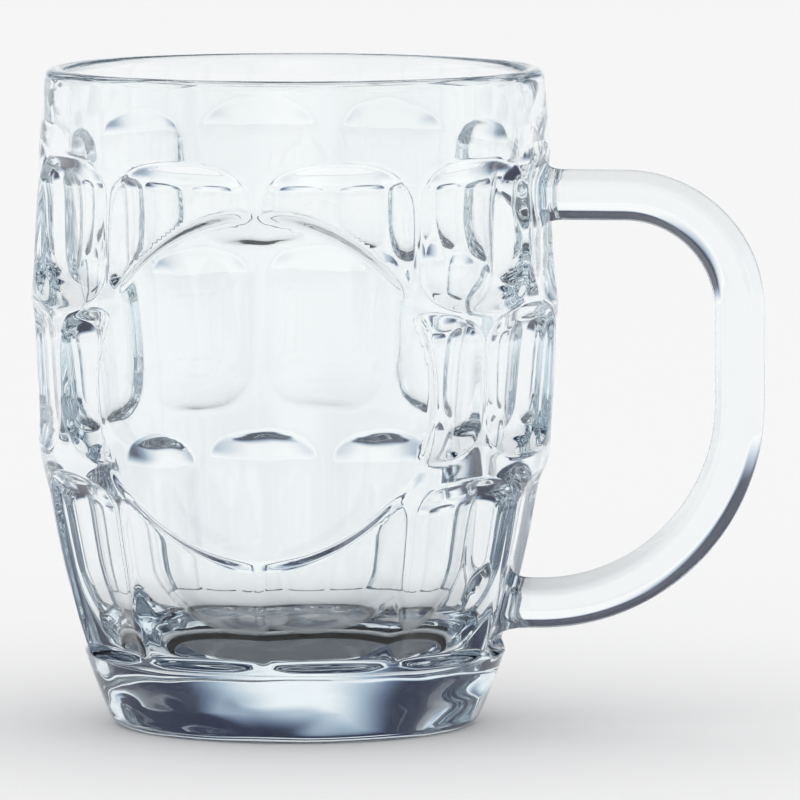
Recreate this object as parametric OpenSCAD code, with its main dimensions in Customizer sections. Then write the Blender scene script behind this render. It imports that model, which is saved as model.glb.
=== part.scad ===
// Dimpled glass beer mug: a pressed glass bowl with a pressed glass handle sealed to its side.
// The bowl stands on z = 0 about the Z axis, the handle lies along +X and the plain round panel faces -Y.

/* [Bowl] */
// Height from the table to the crest of the rim
height = 127; // [115:1:140]
// Outer radius at the widest part of the belly
belly_r = 50.9; // [47:0.1:54]
// Height of the widest part of the belly
belly_z = 82; // [76:1:88]
// Radius of the belly's upright curve
belly_curve = 265; // [220:5:320]
// Height where the belly runs into the tighter curve of the heel
heel_z = 52; // [48:1:56]
// Radius of the heel's upright curve
heel_curve = 180; // [160:5:220]
// Height above which the neck runs straight to the rim
neck_z = 105; // [98:1:110]
// Glass thickness at the rim
rim_wall = 3.6; // [2.8:0.1:4.2]
// Radius of the rounding under the heel
heel_round = 3; // [2:0.5:4]

/* [Inside] */
// Thickness of the solid floor
floor_thick = 14.5; // [11:0.5:18]
// Radius of the upright curve of the inside wall
inside_curve = 600; // [500:20:900]
// Slope of the inside wall at the rim, sideways over upright
inside_draft_share = 0.015; // [0:0.005:0.04]
// Rounding where the inside wall meets the floor
floor_round = 23; // [14:0.5:26]

/* [Foot] */
// Width of the flat ring that the mug stands on
ring_w = 6; // [4:0.5:9]
// Height of the hollow under the floor
hollow_h = 2.2; // [1:0.1:4]

/* [Dimples] */
// Dimples in one row
dimple_count = 10; // [8:2:12]
// Height of the middle of the upper row
upper_row_z = 96.8; // [95:0.2:99]
// Height of the middle of the middle row
middle_row_z = 68.4; // [66:0.2:70]
// Height of one dimple
dimple_h = 28.4; // [26:0.2:29]
// Depth of a dimple below the belly's surface
dimple_depth = 3.6; // [3.5:0.1:4.6]
// Width of the ridge between two dimples
ridge_w = 1.4; // [1:0.1:2.4]

/* [Flutes] */
// Height of the top of the flutes' arches
flute_top_z = 50.4; // [48:0.2:53]
// Height of the ledge at the foot of the flutes
flute_foot_z = 14.5; // [12:0.5:17]
// Height of the arch at the top of a flute
flute_arch_h = 11; // [8:0.5:13]
// Depth of a flute below the heel's surface
flute_depth = 3.2; // [2.6:0.1:3.6]
// Width of the ridge between two flutes, halfway up
flute_ridge_w = 3.4; // [2.4:0.1:5]

/* [Round panel] */
// Radius of the plain round panel
panel_r = 33; // [26:0.2:34]
// Height of the panel's middle
panel_z = 68.4; // [62:0.2:72]

/* [Handle] */
// Distance from the mug's axis to the middle of the grip
grip_x = 86.4; // [82:0.2:92]
// Height of the upper arm
upper_arm_z = 102.9; // [100:0.1:106]
// Height of the lower arm
lower_arm_z = 23.9; // [22:0.1:27]
// Radius of the upper bend, at the middle of the bar
upper_bend = 22.1; // [18:0.1:26]
// Straight length of the lower arm, before its bend
lower_arm_len = 1.4; // [0.5:0.1:6]
// Width of the bar between opposite edges of its six-sided section
bar_w = 10.4; // [9:0.1:12]
// Width that is left once the bar's edges are rounded off
bar_round_w = 9.9; // [8.8:0.1:10.4]

/* [Seals] */
// How far each seal stands out from the belly's surface
seal_out = 2.2; // [1.6:0.1:3]
// Radius of the fillet that spreads each seal onto the wall
seal_fillet = 4.4; // [3.6:0.1:5]
// How deep each seal goes into the glass of the wall
seal_root = 3.2; // [2.6:0.1:3.6]

/* [Hidden] */
$fn = 96;
// Facets of the large upright curves
wide_fn = 256;
// How far cutters reach past what they cut
overrun = 1;
glass_colour = [0.80, 0.87, 0.91, 0.55];
// Straight steps in each small rounding
arc_steps = 8;
// Turns in which the hollows are cut, so that no two cutters of one turn touch
hollow_turns = 4;
// How much wider a cutter is than the hollow it leaves
cutter_spread_share = 1.09;

// Belly and heel are two arcs that share a tangent at heel_z
belly_c = [belly_r - belly_curve, belly_z];
heel_turn = asin((belly_z - heel_z) / belly_curve);
heel_c = belly_c + (belly_curve - heel_curve) * [cos(heel_turn), -sin(heel_turn)];

// Radius of an arc about centre c at height z
function arc_r(c, curve, z) = c[0] + sqrt(curve * curve - (z - c[1]) * (z - c[1]));
// Sideways over upright slope of the same arc
function arc_slope(c, curve, z) = (c[1] - z) / (arc_r(c, curve, z) - c[0]);
// Points round a circle from angle a to angle b
function arc_points(c, r, a, b) =
    [for (i = [0:arc_steps]) c + r * [cos(a + (b - a) * i / arc_steps), sin(a + (b - a) * i / arc_steps)]];

neck_r = arc_r(belly_c, belly_curve, neck_z);
neck_slope = arc_slope(belly_c, belly_curve, neck_z);
neck_lean = atan(neck_slope);

// Outer radius and slope of the smooth body at height z
function wall_r(z) =
    z < heel_z ? arc_r(heel_c, heel_curve, z)
    : z < neck_z ? arc_r(belly_c, belly_curve, z)
    : neck_r + neck_slope * (z - neck_z);
function wall_slope(z) =
    z < heel_z ? arc_slope(heel_c, heel_curve, z)
    : z < neck_z ? arc_slope(belly_c, belly_curve, z)
    : neck_slope;

// The rim is a round lip between the neck and the inside wall
lip_r = rim_wall / 2;
lip_z = height - lip_r;
lip_c = [wall_r(lip_z) - lip_r / cos(neck_lean), lip_z];

// Heel rounding: a small circle that touches the table and lies inside the heel's arc
heel_round_c = [
    heel_c[0] + sqrt(pow(heel_curve - heel_round, 2) - pow(heel_round - heel_c[1], 2)),
    heel_round
];
heel_touch_turn = atan2(heel_round - heel_c[1], heel_round_c[0] - heel_c[0]);
heel_touch_z = heel_c[1] + heel_curve * sin(heel_touch_turn);
ring_r = heel_round_c[0];
hollow_r = ring_r - ring_w;
hollow_curve = (hollow_r * hollow_r + hollow_h * hollow_h) / (2 * hollow_h);

// Inside wall: one arc from the lip to the rounding at the floor
inside_top_turn = atan(inside_draft_share);
inside_top_r = lip_c[0] - lip_r;
inside_c = [
    inside_top_r - inside_curve * cos(inside_top_turn),
    lip_z + inside_curve * sin(inside_top_turn)
];
floor_round_z = floor_thick + floor_round;
floor_round_c = [
    inside_c[0] + sqrt(pow(inside_curve - floor_round, 2) - pow(floor_round_z - inside_c[1], 2)),
    floor_round_z
];
floor_touch_turn = atan2(floor_round_z - inside_c[1], floor_round_c[0] - inside_c[0]);
floor_touch_z = inside_c[1] + inside_curve * sin(floor_touch_turn);

pitch = 360 / dimple_count;
bar_r = bar_round_w / 2;

// The seals end in flat seats that the handle's arms stand on
upper_seat_x = wall_r(upper_arm_z) + seal_out;
lower_seat_x = wall_r(lower_arm_z) + seal_out;
lower_bend = grip_x - lower_seat_x - lower_arm_len;

// Curvature radius that gives a cut of half width a and depth d in a surface of curvature radius s
function cut_curve(a, d, s) = 1 / (2 * d / (a * a) - 1 / s);

// Half of the body's side view, without dimples
module body_outline() {
    polygon(concat(
        [[0, 0]],
        arc_points(heel_round_c, heel_round, -90, heel_touch_turn),
        [[0, heel_touch_z]]
    ));
    intersection() {
        translate(heel_c) circle(heel_curve, $fn = wide_fn);
        translate([0, heel_touch_z]) square([belly_r + overrun, heel_z - heel_touch_z]);
    }
    intersection() {
        translate(belly_c) circle(belly_curve, $fn = wide_fn);
        translate([0, heel_z]) square([belly_r + overrun, neck_z - heel_z]);
    }
    polygon(concat(
        [[0, neck_z], [neck_r, neck_z]],
        arc_points(lip_c, lip_r, -neck_lean, 90),
        [[0, height]]
    ));
}

// Half of the side view of the space inside
module inside_outline() {
    polygon(concat(
        [[0, floor_thick]],
        arc_points(floor_round_c, floor_round, -90, floor_touch_turn),
        [[0, floor_touch_z]]
    ));
    intersection() {
        translate(inside_c) circle(inside_curve, $fn = wide_fn);
        translate([0, floor_touch_z]) square([belly_r, lip_z - floor_touch_z]);
    }
    polygon(concat(
        [[0, lip_z]],
        arc_points(lip_c, lip_r, 180, 90),
        [[lip_c[0], height + overrun], [0, height + overrun]]
    ));
}

// Side view of the hollow under the floor
module hollow_outline() {
    intersection() {
        translate([0, hollow_h - hollow_curve]) circle(hollow_curve, $fn = wide_fn);
        translate([0, -overrun]) square([ring_r, hollow_h + 2 * overrun]);
    }
}

// Cutter for one dimple, on the +X side: part of a ring whose tube gives the dimple's upright curve
module dimple_cutter(z) {
    r = wall_r(z);
    half_w = r * sin(pitch / 2) - ridge_w / 2;
    across = cut_curve(half_w, dimple_depth, r);
    upright = cut_curve(dimple_h / 2, dimple_depth, belly_curve);
    reach = asin(cutter_spread_share * half_w / across);
    thick = dimple_depth + overrun;
    translate([r - dimple_depth, 0, z])
        rotate([0, atan(wall_slope(z)), 0])
            translate([across, 0, 0])
                rotate([0, 0, 180 - reach])
                    rotate_extrude(angle = 2 * reach)
                        intersection() {
                            translate([across - upright, 0]) circle(upright);
                            translate([across - thick, -dimple_h]) square([thick + overrun, 2 * dimple_h]);
                        }
}

// Cutter for one flute, on the +X side: straight below, and curved outwards at its arched top
module flute_cutter() {
    z = (flute_top_z + flute_foot_z) / 2;
    r = wall_r(z);
    half_w = r * sin(pitch / 2) - flute_ridge_w / 2;
    across = cut_curve(half_w, flute_depth, r);
    arch = cut_curve(flute_arch_h, flute_depth, heel_curve);
    reach = asin(cutter_spread_share * half_w / across);
    thick = flute_depth + overrun;
    straight = flute_top_z - flute_arch_h - flute_foot_z;
    translate([r - flute_depth, 0, z])
        rotate([0, atan(wall_slope(z)), 0])
            translate([across, 0, flute_foot_z - z])
                rotate([0, 0, 180 - reach])
                    rotate_extrude(angle = 2 * reach) {
                        translate([across - thick, 0]) square([thick, straight]);
                        intersection() {
                            translate([across - arch, straight]) circle(arch);
                            translate([across - thick, straight]) square([thick, arch]);
                        }
                    }
}

// The round panel's column, which the cutters leave standing
module panel_column() {
    translate([0, 0, panel_z])
        rotate([90, 0, 0])
            cylinder(h = belly_r + panel_r, r = panel_r);
}

// Trumpet-shaped glass that joins an arm to the wall, with its flat seat at x
module seal(x, z) {
    translate([x - seal_fillet - seal_root, 0, z])
        rotate([0, 90, 0])
            rotate_extrude()
                difference() {
                    square([bar_r + seal_fillet, seal_root + seal_fillet]);
                    translate([bar_r + seal_fillet, seal_root + seal_fillet]) circle(seal_fillet);
                }
}

// Six-sided section of the handle's bar, with its edges rounded off
module bar_section() {
    intersection() {
        circle(d = bar_w, $fn = 6);
        circle(d = bar_round_w);
    }
}

// Quarter bend of the bar in the XZ plane, about its middle, from angle start
module bar_bend(radius, start) {
    rotate([90, 0, 0])
        rotate([0, 0, start])
            rotate_extrude(angle = 90) translate([radius, 0]) bar_section();
}

// The hollows of one turn: every other dimple of a row, and below the upper row every other flute
module hollows(turn) {
    staggered = turn >= 2;
    row_z = staggered ? middle_row_z : upper_row_z;
    for (i = [turn % 2:2:dimple_count - 1])
        difference() {
            rotate([0, 0, (staggered ? i + 1 / 2 : i) * pitch]) {
                dimple_cutter(row_z);
                if (!staggered) flute_cutter();
            }
            panel_column();
        }
}

// The solid body after some turns of cutting; neighbouring hollows are cut in different turns
module dimpled_body(turns) {
    if (turns == 0) rotate_extrude() body_outline();
    else difference() {
        dimpled_body(turns - 1);
        hollows(turns - 1);
    }
}

// Pressed bowl with its dimples, flutes, round panel, foot and the two seals for the handle
module bowl() {
    color(glass_colour)
    difference() {
        union() {
            dimpled_body(hollow_turns);
            seal(upper_seat_x, upper_arm_z);
            seal(lower_seat_x, lower_arm_z);
        }
        rotate_extrude() inside_outline();
        rotate_extrude() hollow_outline();
    }
}

// Pressed handle: two arms, two bends and the straight grip between them
module handle() {
    upper_arm_len = grip_x - upper_bend - upper_seat_x;
    upper_bend_z = upper_arm_z - upper_bend;
    lower_bend_z = lower_arm_z + lower_bend;
    color(glass_colour)
    union() {
        translate([upper_seat_x, 0, upper_arm_z])
            rotate([0, 90, 0]) linear_extrude(upper_arm_len) bar_section();
        translate([grip_x - upper_bend, 0, upper_bend_z]) bar_bend(upper_bend, 0);
        translate([grip_x, 0, lower_bend_z]) linear_extrude(upper_bend_z - lower_bend_z) bar_section();
        translate([grip_x - lower_bend, 0, lower_bend_z]) bar_bend(lower_bend, -90);
        translate([lower_seat_x, 0, lower_arm_z])
            rotate([0, 90, 0]) linear_extrude(lower_arm_len) bar_section();
    }
}

bowl();
handle();
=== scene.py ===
import math

import bmesh
import bpy
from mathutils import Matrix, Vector
from mathutils.bvhtree import BVHTree


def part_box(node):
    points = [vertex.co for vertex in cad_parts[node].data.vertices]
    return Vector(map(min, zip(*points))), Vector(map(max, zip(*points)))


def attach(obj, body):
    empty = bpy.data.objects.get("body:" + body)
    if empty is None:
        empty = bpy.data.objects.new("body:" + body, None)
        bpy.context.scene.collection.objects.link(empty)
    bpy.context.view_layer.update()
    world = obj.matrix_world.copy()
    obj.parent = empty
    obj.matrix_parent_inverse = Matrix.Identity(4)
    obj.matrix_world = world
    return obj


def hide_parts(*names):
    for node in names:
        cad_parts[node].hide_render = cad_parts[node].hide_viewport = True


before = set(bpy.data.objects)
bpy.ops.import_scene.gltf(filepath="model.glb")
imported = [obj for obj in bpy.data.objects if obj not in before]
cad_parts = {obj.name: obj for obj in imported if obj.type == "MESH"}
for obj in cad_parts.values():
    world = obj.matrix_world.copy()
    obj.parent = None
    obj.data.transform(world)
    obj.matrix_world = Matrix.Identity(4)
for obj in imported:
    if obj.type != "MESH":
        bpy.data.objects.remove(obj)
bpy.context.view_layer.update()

# Bowl
# One pressing of clear glass: a barrel with two staggered rows of dimples, a fluted heel, a plain round
# panel on the front, a thick floor hollowed underneath, and a rim rounded in the flame.

bowl_low, bowl_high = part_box("bowl")
height = bowl_high.z
belly_r = min(-bowl_low.x, -bowl_low.y)
belly_z = 0.082
belly_curve = 0.265
heel_z = 0.052
heel_curve = 0.180
neck_z = 0.105
rim_wall = 0.0036
heel_round = 0.003
floor_thick = 0.0145
inside_curve = 0.600
inside_draft = 0.015
floor_round = 0.023
ring_w = 0.006
hollow_h = 0.0022

heel_turn = math.asin((belly_z - heel_z) / belly_curve)
belly_c = Vector((belly_r - belly_curve, belly_z))
heel_c = belly_c + (belly_curve - heel_curve) * Vector((math.cos(heel_turn), -math.sin(heel_turn)))


def arc_r(centre, curve, z):
    """Radius from the mug's axis, at height z, of an upright arc about a centre."""
    return centre.x + math.sqrt(curve**2 - (z - centre.y) ** 2)


neck_r = arc_r(belly_c, belly_curve, neck_z)
neck_slope = (belly_z - neck_z) / (neck_r - belly_c.x)


def wall_r(z):
    """Outer radius of the smooth body at height z."""
    if z < heel_z:
        return arc_r(heel_c, heel_curve, z)
    if z < neck_z:
        return arc_r(belly_c, belly_curve, z)
    return neck_r + neck_slope * (z - neck_z)


def spread(low, high, count):
    """Evenly spaced numbers from low to high, both included."""
    return [low + (high - low) * i / (count - 1) for i in range(count)]


def round_points(centre, radius, start, end, count):
    """Points of the profile along a small rounding, by angle."""
    return [centre + radius * Vector((math.cos(a), math.sin(a))) for a in spread(start, end, count)]


lip_r = rim_wall / 2
lip_z = height - lip_r
lip_c = Vector((wall_r(lip_z) - lip_r * math.hypot(1, neck_slope), lip_z))
heel_round_c = Vector((arc_r(heel_c, heel_curve - heel_round, heel_round), heel_round))
heel_touch = math.atan2(heel_round - heel_c.y, heel_round_c.x - heel_c.x)
heel_touch_z = heel_c.y + heel_curve * math.sin(heel_touch)
hollow_r = heel_round_c.x - ring_w
hollow_curve = (hollow_r**2 + hollow_h**2) / (2 * hollow_h)
inside_c = Vector((lip_c.x - lip_r - inside_curve, lip_z + inside_curve * inside_draft))
floor_round_c = Vector((0, floor_thick + floor_round))
floor_round_c.x = arc_r(inside_c, inside_curve - floor_round, floor_round_c.y)
floor_touch = math.atan2(floor_round_c.y - inside_c.y, floor_round_c.x - inside_c.x)
floor_touch_z = inside_c.y + inside_curve * math.sin(floor_touch)

hollow_points = 8
ring_points = 4
heel_points = 10
wall_rows = 188
lip_points = 16
inside_points = 20
floor_round_points = 26
floor_points = 8
wall_heights = spread(heel_touch_z, lip_z, wall_rows)
hollow_c = Vector((0, hollow_h - hollow_curve))
hollow_steps = spread(0, hollow_r, hollow_points)
inside_heights = spread(lip_z, floor_touch_z, inside_points)
profile = [Vector((r, max(0, arc_r(hollow_c.yx, hollow_curve, r)))) for r in hollow_steps]
profile += [Vector((r, 0)) for r in spread(hollow_r, heel_round_c.x, ring_points)[1:-1]]
profile += round_points(heel_round_c, heel_round, -math.pi / 2, heel_touch, heel_points)[:-1]
first_wall_row = len(profile)
profile += [Vector((wall_r(z), z)) for z in wall_heights]
profile += round_points(lip_c, lip_r, math.atan(-neck_slope), math.pi, lip_points)[1:]
profile += [Vector((arc_r(inside_c, inside_curve, z), z)) for z in inside_heights[1:-1]]
profile += round_points(floor_round_c, floor_round, floor_touch, -math.pi / 2, floor_round_points)
profile += [Vector((r, floor_thick)) for r in spread(floor_round_c.x, 0, floor_points)[1:]]

profile_mesh = bpy.data.meshes.new("bowl_profile")
profile_mesh.from_pydata([(p.x, 0, p.y) for p in profile], [], [])
profile_object = bpy.data.objects.new("bowl_profile", profile_mesh)
bpy.context.collection.objects.link(profile_object)


def calc(tree, operation, *values):
    """Adds a math node to a tree and returns its result."""
    node = tree.nodes.new("ShaderNodeMath")
    node.operation = operation
    for socket, value in zip(node.inputs, values):
        if isinstance(value, Field):
            tree.links.new(value.socket, socket)
        else:
            socket.default_value = value
    return Field(node.outputs[0])


class Field:
    """A number in a node tree that varies from point to point, written with ordinary arithmetic."""

    def __init__(self, socket):
        self.socket = socket
        self.tree = socket.id_data

    def __add__(self, other):
        return calc(self.tree, "ADD", self, other)

    def __sub__(self, other):
        return calc(self.tree, "SUBTRACT", self, other)

    def __rsub__(self, other):
        return calc(self.tree, "SUBTRACT", other, self)

    def __mul__(self, other):
        return calc(self.tree, "MULTIPLY", self, other)

    def __truediv__(self, other):
        return calc(self.tree, "DIVIDE", self, other)

    def __rtruediv__(self, other):
        return calc(self.tree, "DIVIDE", other, self)

    def __mod__(self, other):
        return calc(self.tree, "FLOORED_MODULO", self, other)

    def __pow__(self, other):
        return calc(self.tree, "POWER", self, other)

    def __abs__(self):
        return calc(self.tree, "ABSOLUTE", self)

    def most(self, other):
        return calc(self.tree, "MAXIMUM", self, other)

    def least(self, other):
        return calc(self.tree, "MINIMUM", self, other)

    def sine(self):
        return calc(self.tree, "SINE", self)

    def cosine(self):
        return calc(self.tree, "COSINE", self)

    def ramp(self, low, high):
        """0 below low, 1 above high, and a smooth step between them."""
        part = ((self - low) / (high - low)).most(0.0).least(1.0)
        return part * part * (3.0 - part * 2.0)


def start_tree(name, sizes):
    """A Geometry Nodes tree with one named input for each size, and its group input node."""
    kinds = {int: "NodeSocketInt", float: "NodeSocketFloat"}
    tree = bpy.data.node_groups.new(name, "GeometryNodeTree")
    for label, value in sizes.items():
        if isinstance(value, bpy.types.Object):
            kind = "NodeSocketObject"
        elif isinstance(value, bpy.types.Material):
            kind = "NodeSocketMaterial"
        else:
            kind = kinds[type(value)]
        tree.interface.new_socket(label, in_out="INPUT", socket_type=kind)
    tree.interface.new_socket("Geometry", in_out="OUTPUT", socket_type="NodeSocketGeometry")
    return tree, tree.nodes.new("NodeGroupInput")


def add_node(tree, kind, links, **settings):
    """Adds a node with its settings, and joins or sets the inputs that links names."""
    node = tree.nodes.new(kind)
    for name, value in settings.items():
        setattr(node, name, value)
    for name, value in links.items():
        if isinstance(value, Field):
            value = value.socket
        if isinstance(value, bpy.types.NodeSocket):
            tree.links.new(value, node.inputs[name])
        else:
            node.inputs[name].default_value = value
    return node


def finish_tree(tree, geometry, material):
    """Ends a tree in smooth shading, real geometry and its material."""
    smooth = add_node(tree, "GeometryNodeSetShadeSmooth", {"Geometry": geometry})
    real = add_node(tree, "GeometryNodeRealizeInstances", {"Geometry": smooth.outputs[0]})
    coated = add_node(tree, "GeometryNodeSetMaterial", {"Geometry": real.outputs[0], "Material": material})
    add_node(tree, "NodeGroupOutput", {"Geometry": coated.outputs[0]})


def tree_mesh(tree, sizes):
    """Runs a tree on an empty object and returns the plain mesh that it makes."""
    carrier = bpy.data.objects.new(tree.name, bpy.data.meshes.new(tree.name))
    bpy.context.collection.objects.link(carrier)
    modifier = carrier.modifiers.new("shape", "NODES")
    modifier.node_group = tree
    for item in tree.interface.items_tree:
        if item.in_out == "INPUT":
            modifier[item.identifier] = sizes[item.name]
    evaluated = carrier.evaluated_get(bpy.context.evaluated_depsgraph_get())
    mesh = bpy.data.meshes.new_from_object(evaluated)
    bpy.data.objects.remove(carrier)
    return mesh


# The glass is soda-lime, fire-polished, so it is clear and glossy, with a cool tint where it is thick.
# The press left faint ripples, which are strongest at the foot, and washing has dulled the polish a little.
glass_tint = (0.72, 0.87, 0.94, 1.0)
glass_tint_density = 6.0
glass_face = (0.985, 1.0, 1.0, 1.0)
glass_bend = 1.52
ripple_size = 0.009
ripple_height = 0.00006
ripple_detail = 1.0
swirl_size = 0.013
swirl_height = 0.0012
swirl_detail = 0.0
swirl_low = 0.006
swirl_high = 0.0135
haze_size = 0.004
haze_detail = 2.0
haze_start = 0.4
haze_full = 0.8
haze_most = 0.05

glass = bpy.data.materials.new("clear_pressed_glass")
glass.use_nodes = True
glass_tree = glass.node_tree
glass_shader = glass_tree.nodes["Principled BSDF"]
glass_shader.inputs["Base Color"].default_value = glass_face
glass_shader.inputs["Transmission Weight"].default_value = 1.0
glass_shader.inputs["IOR"].default_value = glass_bend
glass_place = glass_tree.nodes.new("ShaderNodeTexCoord").outputs["Object"]
glass_split = add_node(glass_tree, "ShaderNodeSeparateXYZ", {"Vector": glass_place})


def glass_noise(size, detail):
    """A soft random pattern through the glass, with features of one size."""
    noise = add_node(
        glass_tree,
        "ShaderNodeTexNoise",
        {"Vector": glass_place, "Scale": 1 / size, "Detail": detail},
    )
    return Field(noise.outputs["Fac"])


at_foot = 1.0 - Field(glass_split.outputs["Z"]).ramp(swirl_low, swirl_high)
ripple = glass_noise(ripple_size, ripple_detail) * ripple_height
swirl = glass_noise(swirl_size, swirl_detail) * swirl_height * at_foot
glass_bump = add_node(glass_tree, "ShaderNodeBump", {"Height": ripple + swirl, "Distance": 1.0})
glass_tree.links.new(glass_bump.outputs["Normal"], glass_shader.inputs["Normal"])
haze = glass_noise(haze_size, haze_detail).ramp(haze_start, haze_full) * haze_most
glass_tree.links.new(haze.socket, glass_shader.inputs["Roughness"])
glass_depth = add_node(
    glass_tree, "ShaderNodeVolumeAbsorption", {"Color": glass_tint, "Density": glass_tint_density}
)
glass_tree.links.new(glass_depth.outputs["Volume"], glass_tree.nodes["Material Output"].inputs["Volume"])

bowl_sizes = {
    "Profile": profile_object,
    "Profile Rows": len(profile),
    "First Wall Row": first_wall_row,
    "Wall Rows": wall_rows,
    "Columns": 320,
    "Dimple Count": 10,
    "Dimple Depth": 0.0032,
    "Dimple Height": 0.0288,
    "Dimple Side Fullness": 2.7,
    "Dimple Top Fullness": 4.4,
    "Dimple Foot Fullness": 4.0,
    "Ridge Width": 0.0012,
    "Upper Row Height": 0.0968,
    "Middle Row Height": 0.0684,
    "Edge Softness": 0.045,
    "Flute Depth": 0.0032,
    "Flute Top": 0.0504,
    "Flute Arch": 0.011,
    "Flute Top Fullness": 4.6,
    "Flute Foot": 0.0145,
    "Flute Foot Arch": 0.003,
    "Flute Foot Fullness": 6.0,
    "Flute Ridge Width": 0.0018,
    "Flute Recess": 0.0006,
    "Panel Radius": 0.0322,
    "Panel Height": 0.0684,
    "Panel Bevel": 0.0022,
    "Glass": glass,
}
bowl_tree, bowl_in = start_tree("pressed_bowl", bowl_sizes)


def bowl_size(name):
    """One of the bowl tree's named inputs, for use in arithmetic."""
    return Field(bowl_in.outputs[name])


bowl_grid = add_node(
    bowl_tree,
    "GeometryNodeMeshGrid",
    {"Vertices X": bowl_size("Columns") + 1.0, "Vertices Y": bowl_size("Profile Rows")},
)
bowl_index = Field(bowl_tree.nodes.new("GeometryNodeInputIndex").outputs[0])
bowl_row = bowl_index % bowl_size("Profile Rows")
bowl_angle = (bowl_index - bowl_row) / bowl_size("Profile Rows") / bowl_size("Columns") * math.tau
profile_points = add_node(bowl_tree, "GeometryNodeObjectInfo", {"Object": bowl_in.outputs["Profile"]})
profile_place = bowl_tree.nodes.new("GeometryNodeInputPosition")
profile_sample = add_node(
    bowl_tree,
    "GeometryNodeSampleIndex",
    {
        "Geometry": profile_points.outputs["Geometry"],
        "Value": profile_place.outputs[0],
        "Index": bowl_row,
    },
    data_type="FLOAT_VECTOR",
)
profile_split = add_node(bowl_tree, "ShaderNodeSeparateXYZ", {"Vector": profile_sample.outputs["Value"]})
smooth_r = Field(profile_split.outputs["X"])
point_z = Field(profile_split.outputs["Z"])

# The angle runs from the panel's middle towards the handle, which stands at a quarter turn.
# The upper dimples and the flutes stand half a pitch from the middle dimples.
stagger = 0.5
recess_fade_start = 0.4
recess_fade_end = 1.4
weld_gap = 1e-6
dimple_pitch = math.tau / bowl_size("Dimple Count")


def hollow_shape(reach):
    """1 in the middle of a hollow and 0 outside it, with its edge rounded as fire polishing leaves it."""
    soft = bowl_size("Edge Softness")
    inward = 1.0 - reach
    return (inward + (inward * inward + soft * soft) ** 0.5) / 2.0


def sideways(phase, ridge):
    """Distance round the wall from the middle of the nearest hollow, as a share of its half width."""
    turn = (bowl_angle - dimple_pitch * phase + dimple_pitch / 2.0) % dimple_pitch - dimple_pitch / 2.0
    return abs(turn) * smooth_r / (smooth_r * dimple_pitch / 2.0 - ridge / 2.0)


def dimple_row(row_z, phase):
    """Depth of one row of dimples, each arched steeply at the top and less so at the foot."""
    half_h = bowl_size("Dimple Height") / 2.0
    across = sideways(phase, bowl_size("Ridge Width"))
    above = ((point_z - row_z) / half_h).most(0.0)
    below = ((row_z - point_z) / half_h).most(0.0)
    reach = (
        across ** bowl_size("Dimple Side Fullness")
        + above ** bowl_size("Dimple Top Fullness")
        + below ** bowl_size("Dimple Foot Fullness")
    )
    return hollow_shape(reach) * bowl_size("Dimple Depth")


def flute_row(phase):
    """Depth of the row of flutes, arched at the top and nearly square at the foot."""
    across = sideways(phase, bowl_size("Flute Ridge Width"))
    arch = bowl_size("Flute Arch")
    foot_arch = bowl_size("Flute Foot Arch")
    above = ((point_z - bowl_size("Flute Top") + arch) / arch).most(0.0)
    below = ((bowl_size("Flute Foot") + foot_arch - point_z) / foot_arch).most(0.0)
    foot = below ** bowl_size("Flute Foot Fullness")
    reach = across * across + above ** bowl_size("Flute Top Fullness") + foot
    recess = (1.0 - above.ramp(recess_fade_start, recess_fade_end)) * (1.0 - foot.least(1.0))
    return hollow_shape(reach) * bowl_size("Flute Depth") + recess * bowl_size("Flute Recess")


upper_row = dimple_row(bowl_size("Upper Row Height"), stagger)
middle_row = dimple_row(bowl_size("Middle Row Height"), 0.0)
hollows = upper_row.most(middle_row).most(flute_row(stagger))
panel_x = smooth_r * bowl_angle.sine()
panel_drop = point_z - bowl_size("Panel Height")
panel_reach = (panel_x * panel_x + panel_drop * panel_drop) ** 0.5
panel_r = bowl_size("Panel Radius")
off_panel = panel_reach.ramp(panel_r, panel_r + bowl_size("Panel Bevel"))
at_back = calc(bowl_tree, "LESS_THAN", bowl_angle.cosine(), 0.0)
wall_row = bowl_row - bowl_size("First Wall Row")
below_wall = calc(bowl_tree, "LESS_THAN", wall_row, 0.0)
above_wall = calc(bowl_tree, "GREATER_THAN", wall_row, bowl_size("Wall Rows") - 1.0)
on_wall = 1.0 - below_wall.most(above_wall)
point_r = smooth_r - hollows * off_panel.most(at_back) * on_wall
bowl_place = add_node(
    bowl_tree,
    "ShaderNodeCombineXYZ",
    {"X": point_r * bowl_angle.sine(), "Y": point_r * bowl_angle.cosine() * -1.0, "Z": point_z},
)
bowl_set = add_node(
    bowl_tree,
    "GeometryNodeSetPosition",
    {"Geometry": bowl_grid.outputs["Mesh"], "Position": bowl_place.outputs[0]},
)
bowl_closed = add_node(
    bowl_tree,
    "GeometryNodeMergeByDistance",
    {"Geometry": bowl_set.outputs[0], "Distance": weld_gap},
)
finish_tree(bowl_tree, bowl_closed.outputs[0], bowl_in.outputs["Glass"])
bowl_mesh = tree_mesh(bowl_tree, bowl_sizes)
bpy.data.objects.remove(profile_object)

# Handle
# A bar of the same glass, pressed by itself with a six-sided section and soft edges, then bent to a loop.
# Its flat sides face front and back, and its two ends stand straight out from the bowl.

handle_low, handle_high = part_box("handle")
bar_w = 0.0104
bar_edge_round = 0.002
bar_r = 0.00495
upper_arm_z = handle_high.z - bar_r
lower_arm_z = handle_low.z + bar_r
grip_x = handle_high.x - bar_r
upper_seat_x = bowl_high.x
lower_seat_x = handle_low.x
lower_arm_len = 0.0014
bar_sides = 6
bend_points = 48
edge_points = 8
first_lower_corner = 2.0
window_columns = 24
window_rows = 32

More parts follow.
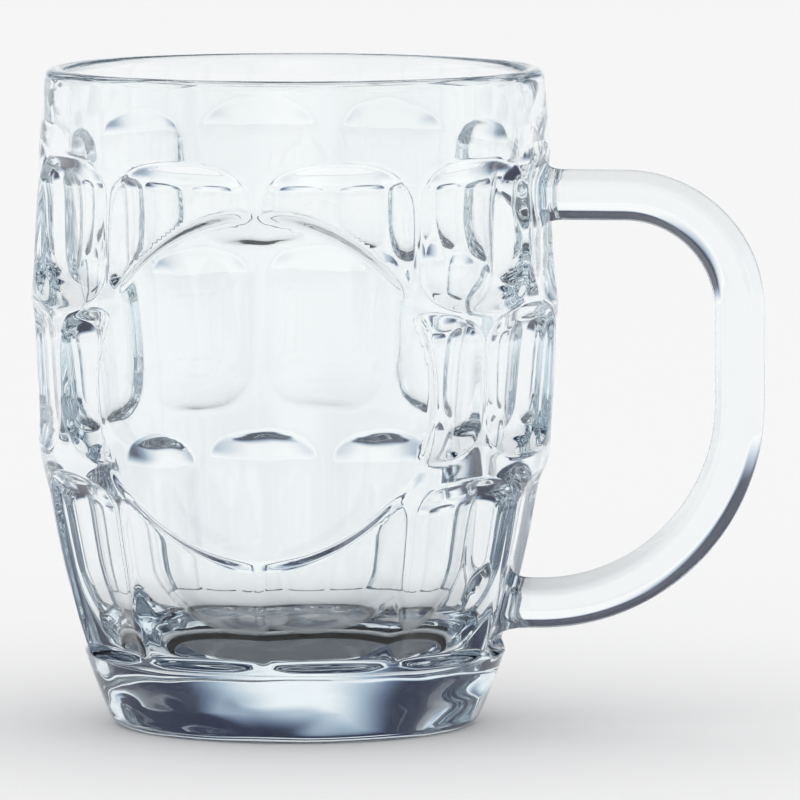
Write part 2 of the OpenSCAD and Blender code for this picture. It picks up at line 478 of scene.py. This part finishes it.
handle_sizes = {
    "Upper Seat": upper_seat_x,
    "Lower Seat": lower_seat_x,
    "Grip": grip_x,
    "Upper Arm": upper_arm_z,
    "Lower Arm": lower_arm_z,
    "Upper Bend": 0.0221,
    "Lower Bend": grip_x - lower_seat_x - lower_arm_len,
    "Bar Radius": bar_w / 2,
    "Edge Rounding": bar_edge_round,
    "Points Round": 2 * (window_columns + window_rows),
    "Step": 0.0013,
    "Glass": glass,
}
handle_tree, handle_in = start_tree("pressed_handle", handle_sizes)
handle_turns = (
    ("Upper Seat", "Upper Arm"),
    ("Grip", "Upper Arm"),
    ("Grip", "Lower Arm"),
    ("Lower Seat", "Lower Arm"),
)
handle_corners = {}
for number, (x_name, z_name) in enumerate(handle_turns, 1):
    corner = add_node(
        handle_tree,
        "ShaderNodeCombineXYZ",
        {"X": handle_in.outputs[x_name], "Z": handle_in.outputs[z_name]},
    )
    handle_corners[f"Point {number}"] = corner.outputs[0]
handle_frame = add_node(
    handle_tree, "GeometryNodeCurvePrimitiveQuadrilateral", handle_corners, mode="POINTS"
)
handle_open = add_node(
    handle_tree,
    "GeometryNodeSetSplineCyclic",
    {"Geometry": handle_frame.outputs[0], "Cyclic": False},
)
corner_index = Field(handle_tree.nodes.new("GeometryNodeInputIndex").outputs[0])
first_bend = calc(handle_tree, "LESS_THAN", corner_index, first_lower_corner)
upper_bend = Field(handle_in.outputs["Upper Bend"])
lower_bend = Field(handle_in.outputs["Lower Bend"])
handle_bent = add_node(
    handle_tree,
    "GeometryNodeFilletCurve",
    {
        "Curve": handle_open.outputs[0],
        "Count": bend_points,
        "Radius": upper_bend * first_bend + lower_bend * (1.0 - first_bend),
    },
    mode="POLY",
)
handle_path = add_node(
    handle_tree,
    "GeometryNodeResampleCurve",
    {"Curve": handle_bent.outputs[0], "Length": handle_in.outputs["Step"]},
    mode="LENGTH",
)
bar_hexagon = add_node(
    handle_tree,
    "GeometryNodeCurvePrimitiveCircle",
    {"Resolution": bar_sides, "Radius": handle_in.outputs["Bar Radius"]},
)
bar_soft = add_node(
    handle_tree,
    "GeometryNodeFilletCurve",
    {"Curve": bar_hexagon.outputs[0], "Count": edge_points, "Radius": handle_in.outputs["Edge Rounding"]},
    mode="POLY",
)
bar_turned = add_node(
    handle_tree,
    "GeometryNodeTransform",
    {"Geometry": bar_soft.outputs[0], "Rotation": (0, 0, math.pi / 2)},
)
bar_section = add_node(
    handle_tree,
    "GeometryNodeResampleCurve",
    {"Curve": bar_turned.outputs[0], "Count": handle_in.outputs["Points Round"]},
    mode="COUNT",
)
handle_sweep = add_node(
    handle_tree,
    "GeometryNodeCurveToMesh",
    {"Curve": handle_path.outputs[0], "Profile Curve": bar_section.outputs[0]},
)
finish_tree(handle_tree, handle_sweep.outputs[0], handle_in.outputs["Glass"])
handle_mesh = tree_mesh(handle_tree, handle_sizes)

# Seals
# The two places where the handle's hot ends were pressed onto the bowl and ran together with its wall.
# Each spreads from the bar to the wall in a small trumpet, and the glass is one piece through it.

seal_spread = 0.0040
seal_rings = 7
skirt_rings = 5
wall_least = 0.002

mug_build = bmesh.new()
mug_build.from_mesh(bowl_mesh)
outer_wall = BVHTree.FromBMesh(mug_build)
mug_build.from_mesh(handle_mesh)
arm_ends = {v for v in mug_build.verts if v.is_boundary}
row_step = wall_heights[1] - wall_heights[0]
column_step = math.tau / bowl_sizes["Columns"]


def wall_point(y, z):
    """The point of the bowl's outer wall, on the handle's side, at a given place seen along the arms."""
    return outer_wall.ray_cast(Vector((grip_x, y, z)), Vector((-1, 0, 0)))[0]


def open_wall(arm_z):
    """Takes a block of whole rows and columns out of the wall round one arm, and returns its edge."""
    low = heel_touch_z + (round((arm_z - heel_touch_z) / row_step) - window_rows // 2) * row_step
    high = low + window_rows * row_step
    half_turn = window_columns / 2 * column_step
    block = []
    for face in mug_build.faces:
        middle = face.calc_center_median()
        if low < middle.z < high and abs(math.atan2(middle.y, middle.x)) < half_turn:
            if abs(middle.x - wall_point(middle.y, middle.z).x) < wall_least:
                block.append(face)
    bmesh.ops.delete(mug_build, geom=block, context="FACES")
    return [v for v in mug_build.verts if v.is_boundary and v not in arm_ends]


def seal_arm(arm_z):
    """Opens the wall under one arm and joins the arm's end to the edge of the opening."""

    def turn(vert):
        return math.atan2(vert.co.z - arm_z, vert.co.y)

    ring = sorted((v for v in arm_ends if abs(v.co.z - arm_z) < bar_w), key=turn)
    border = sorted(open_wall(arm_z), key=turn)
    lines = []
    for end, edge in zip(ring, border, strict=True):
        out = Vector((0, end.co.y, end.co.z - arm_z)).normalized() * seal_spread
        under = wall_point(end.co.y, end.co.z)
        foot = wall_point(end.co.y + out.y, end.co.z + out.z)
        line = [end]
        for part in spread(0, 1, seal_rings)[1:]:
            place = (1 - part) ** 2 * end.co + 2 * part * (1 - part) * under + part**2 * foot
            line.append(mug_build.verts.new(place))
        for part in spread(0, 1, skirt_rings)[1:-1]:
            across = foot.lerp(edge.co, part)
            line.append(mug_build.verts.new(wall_point(across.y, across.z)))
        lines.append([*line, edge])
    for line, after in zip(lines, [*lines[1:], lines[0]]):
        for a, b, c, d in zip(line, line[1:], after[1:], after):
            mug_build.faces.new((a, b, c, d)).smooth = True


seal_arm(upper_arm_z)
seal_arm(lower_arm_z)
bmesh.ops.triangulate(mug_build, faces=mug_build.faces, quad_method="SHORT_EDGE")
bmesh.ops.recalc_face_normals(mug_build, faces=mug_build.faces)
mug_mesh = bpy.data.meshes.new("mug_glass")
mug_build.to_mesh(mug_mesh)
mug_build.free()
mug_mesh.materials.clear()
mug_mesh.materials.append(glass)
mug = bpy.data.objects.new("mug_glass", mug_mesh)
bpy.context.collection.objects.link(mug)
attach(mug, "root")
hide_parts("bowl", "handle")

# Studio
# A plain pale table in a white room, with soft light from all round and over it.
# The eye and the glass see the same room, with painted shade in its corners and in a band above: darker to
# what is seen, while the light from there stays white. This painted shade draws the dark edges in the glass.

floor_r = 4.0
floor_sides = 96
floor_roughness = 0.9
floor_pale = (0.97, 0.97, 0.975, 1.0)
# Colours of the painted shade in the room, from the darkest corner to plain white.
painted_shade_tones = (
    (0.0, (0.018, 0.025, 0.055, 1.0)),
    (0.15, (0.13, 0.17, 0.26, 1.0)),
    (0.5, (0.44, 0.53, 0.63, 1.0)),
    (1.0, (1.0, 1.0, 1.0, 1.0)),
)
room_turn = math.radians(8)
side_half = math.radians(4)
side_fade = math.radians(22)
corner_low = math.sin(math.radians(-1))
corner_high = math.sin(math.radians(7))
band_low = math.sin(math.radians(15))
band_high = math.sin(math.radians(28))

floor_mesh = bpy.data.meshes.new("floor")
floor_build = bmesh.new()
bmesh.ops.create_circle(floor_build, cap_ends=True, segments=floor_sides, radius=floor_r)
floor_build.to_mesh(floor_mesh)
floor_build.free()
floor = bpy.data.objects.new("floor", floor_mesh)
bpy.context.collection.objects.link(floor)
floor_paint = bpy.data.materials.new("pale_table")
floor_paint.use_nodes = True
floor_shader = floor_paint.node_tree.nodes["Principled BSDF"]
floor_shader.inputs["Base Color"].default_value = floor_pale
floor_shader.inputs["Roughness"].default_value = floor_roughness
floor_mesh.materials.append(floor_paint)

room = bpy.data.worlds.new("white_room")
bpy.context.scene.world = room
room.use_nodes = True
room_tree = room.node_tree
room_place = room_tree.nodes.new("ShaderNodeTexCoord").outputs["Generated"]
room_split = add_node(room_tree, "ShaderNodeSeparateXYZ", {"Vector": room_place})
room_x = Field(room_split.outputs["X"])
room_y = Field(room_split.outputs["Y"])
side_turn = calc(room_tree, "ARCTAN2", room_x, room_y) + room_turn
quarter = math.pi / 2
off_side = abs((side_turn + quarter / 2) % quarter - quarter / 2)
rise = Field(room_split.outputs["Z"])
# Masks of the painted shade: the corners between the four white sides, and a band from 15 to 28 degrees up.
corner_painted_shade = off_side.ramp(side_half, side_half + side_fade) * rise.ramp(corner_low, corner_high)
band_painted_shade = rise.ramp(band_low, band_high)
path = room_tree.nodes.new("ShaderNodeLightPath")
seen = Field(path.outputs["Is Camera Ray"])
for kind in ("Is Glossy Ray", "Is Transmission Ray"):
    seen = seen.most(Field(path.outputs[kind]))
# The painted shade is shown only to camera, glossy and transmission rays; the light the room gives stays
# plain white.
white_less_painted_shade = 1.0 - seen * corner_painted_shade.most(band_painted_shade)
tones = add_node(room_tree, "ShaderNodeValToRGB", {"Fac": white_less_painted_shade})
stops = tones.color_ramp.elements
stops[0].position, stops[0].color = painted_shade_tones[0]
stops[1].position, stops[1].color = painted_shade_tones[-1]
for position, colour in painted_shade_tones[1:-1]:
    stops.new(position).color = colour
room_tree.links.new(tones.outputs["Color"], room_tree.nodes["Background"].inputs["Color"])

bpy.context.scene.view_settings.view_transform = "Standard"
glass_bounces = 24
bpy.context.scene.cycles.max_bounces = glass_bounces
bpy.context.scene.cycles.glossy_bounces = glass_bounces
bpy.context.scene.cycles.transmission_bounces = glass_bounces

# Camera
# A long lens a little above the rim, looking slightly down, with the handle turned a few degrees forwards.

camera_turn = math.radians(8)
camera_reach = 1.85
camera_z = 0.237
aim = Vector((0.0205, 0, 0.0628))
frame_w = 0.1544
sight_end = 20.0

camera_data = bpy.data.cameras.new("camera")
camera = bpy.data.objects.new("camera", camera_data)
bpy.context.collection.objects.link(camera)
camera.location = Vector(
    (aim.x + camera_reach * math.sin(camera_turn), -camera_reach * math.cos(camera_turn), camera_z)
)
camera_look = aim - camera.location
camera.rotation_euler = camera_look.to_track_quat("-Z", "Y").to_euler()
camera_data.lens = camera_data.sensor_width * camera_look.length / frame_w
camera_data.clip_end = sight_end
bpy.context.scene.camera = camera
